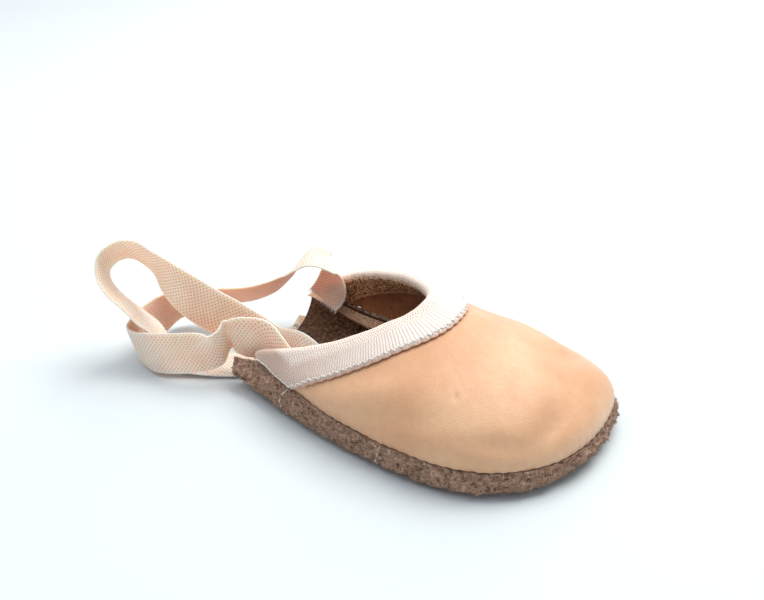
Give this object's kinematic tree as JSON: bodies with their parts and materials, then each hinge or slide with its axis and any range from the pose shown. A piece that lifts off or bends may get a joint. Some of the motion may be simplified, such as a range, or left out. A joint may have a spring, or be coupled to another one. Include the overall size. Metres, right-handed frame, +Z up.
{
  "type": "dance slipper",
  "caption": "Child's half-sole dance slipper with a peach leather vamp, bound collar, suede sole and elastic heel straps lying crossed behind it.",
  "frame": {"origin": "on the floor plane under the ball of the foot, where the sole is widest", "axes": "+X towards the toe, +Y towards the side away from the picture's camera, +Z up from the floor"},
  "size_m": [0.1767, 0.0788, 0.0462],
  "materials": {
    "outsole": "brushed suede, grey-brown",
    "upper": "satin smooth grain, peach tan",
    "collar_binding": "ribbed knitted elastic, cream",
    "seam_allowance": "raw suede, tan brown",
    "heel_strap_lower": "knitted elastic, peach",
    "heel_strap_upper": "knitted elastic, peach"
  },
  "bodies": {
    "root": {"outsole": "outsole", "upper": "upper", "collar_binding": "collar_binding", "seam_allowance": "seam_allowance", "heel_strap_lower": "heel_strap_lower", "heel_strap_upper": "heel_strap_upper"}
  },
  "joints": []
}
